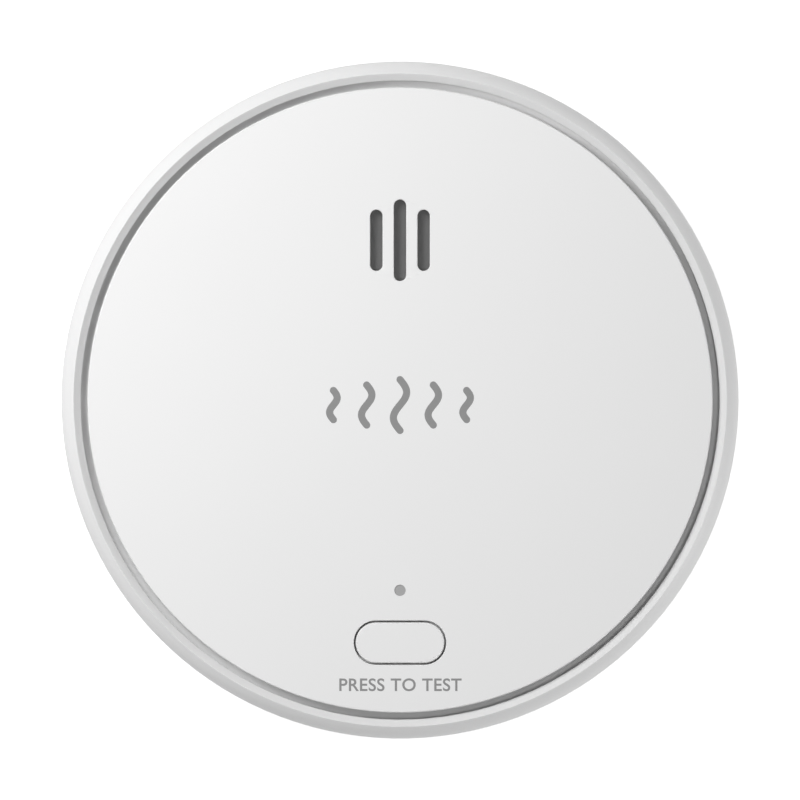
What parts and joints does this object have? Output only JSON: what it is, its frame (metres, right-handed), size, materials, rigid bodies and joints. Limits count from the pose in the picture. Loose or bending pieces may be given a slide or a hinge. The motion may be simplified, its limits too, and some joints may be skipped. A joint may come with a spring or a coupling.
{
  "type": "smoke alarm",
  "caption": "Round battery smoke alarm with a ring-shaped smoke inlet, sound slots and a test button, twist-locked on a flat ceiling bracket.",
  "frame": {"origin": "centre of the bracket's ceiling face", "axes": "+Z out of the ceiling through the alarm to its face, +Y towards the sound slots, -Y towards the test button"},
  "size_m": [0.1, 0.1, 0.038],
  "materials": {
    "bracket_plastic": "satin moulded plastic",
    "case_plastic": "satin moulded plastic",
    "face_plastic": "satin, fine spark-eroded texture",
    "button_plastic": "satin, fine spark-eroded texture",
    "label_film": "silver polyester film",
    "screw_steel": "zinc plated",
    "spring_steel": "drawn wire",
    "clear_acrylic": "frosted clear acrylic",
    "acoustic_mesh": "woven acoustic mesh",
    "horn_plastic": "moulded black plastic",
    "piezo_brass": "rolled brass",
    "piezo_ceramic": "silvered ceramic",
    "red_wire": "soft vinyl",
    "black_wire": "soft vinyl",
    "circuit_board": "solder mask",
    "chamber_plastic": "matt black plastic",
    "insect_mesh": "etched mesh",
    "emitter_epoxy": "clear bluish epoxy",
    "receiver_epoxy": "dark infrared-pass epoxy",
    "tinned_steel": "tin plated",
    "cell_can": "nickel plated",
    "cell_sleeve": "shrink sleeve",
    "foam_pad": "foam tape",
    "connector_nylon": "natural nylon",
    "switch_black": "moulded nylon",
    "led_package": "white package",
    "chip_epoxy": "moulded epoxy",
    "coil_ferrite": "ferrite",
    "coil_copper": "enamelled copper",
    "capacitor_sleeve": "vinyl sleeve",
    "resistor_body": "thick film on ceramic",
    "capacitor_body": "ceramic"
  },
  "bodies": {
    "bracket": {"mounting_bracket": "bracket_plastic"},
    "alarm": {"rear_cover": "case_plastic", "rating_label": "label_film", "case_screws": "screw_steel", "outer_casing": "case_plastic", "face_plate": "face_plastic", "face_screws": "screw_steel", "button_spring": "spring_steel", "button_retainer": "case_plastic", "retainer_screws": "screw_steel", "light_pipe": "clear_acrylic", "sounder_mesh": "acoustic_mesh", "sounder_horn": "horn_plastic", "horn_screws": "screw_steel", "piezo_plate": "piezo_brass", "piezo_ceramic": "piezo_ceramic", "piezo_clamp_ring": "horn_plastic", "sounder_lead_signal": "red_wire", "sounder_lead_ground": "black_wire", "main_board": "circuit_board", "board_screws": "screw_steel", "chamber_base": "chamber_plastic", "labyrinth_cover": "chamber_plastic", "insect_screen": "insect_mesh", "infrared_emitter": "emitter_epoxy", "photodiode": "receiver_epoxy", "receiver_shield": "tinned_steel", "battery_cell": "cell_can", "battery_sleeve": "cell_sleeve", "battery_tabs": "tinned_steel", "battery_pad": "foam_pad", "battery_lead_positive": "red_wire", "battery_lead_negative": "black_wire", "battery_plug": "connector_nylon", "battery_header": "connector_nylon", "test_switch_body": "switch_black", "status_led": "led_package", "power_switch_body": "tinned_steel", "microcontroller": "chip_epoxy", "sensor_chip": "chip_epoxy", "chip_leads": "tinned_steel", "boost_coil": "coil_ferrite", "coil_winding": "coil_copper", "electrolytic_capacitors": "capacitor_sleeve", "chip_resistors": "resistor_body", "chip_capacitors": "capacitor_body", "clock_crystal": "tinned_steel"},
    "test_button": {"test_button": "button_plastic"},
    "switch_plunger": {"test_switch_plunger": "switch_black"},
    "power_slider": {"power_switch_slider": "switch_black"}
  },
  "joints": [
    {"name": "twist_lock", "type": "hinge", "parent": "bracket", "child": "alarm", "pos_m": [0, 0, 0], "axis": [0, 0, 1], "range_deg": [0, 18]},
    {"name": "button_press", "type": "slide", "parent": "alarm", "child": "test_button", "axis": [0, 0, -1], "range_m": [0, 0.0005], "stiffness_N_per_m": 2000, "springref_m": -0.0005, "deforming": ["button_spring"]},
    {"name": "plunger_press", "type": "slide", "parent": "alarm", "child": "switch_plunger", "axis": [0, 0, -1], "range_m": [0, 0.0005]},
    {"name": "power_slide", "type": "slide", "parent": "alarm", "child": "power_slider", "axis": [-1, 0, 0], "range_m": [0, 0.002]}
  ],
  "couplings": [
    {"joint": "plunger_press", "follows": "button_press", "ratio": 1}
  ]
}
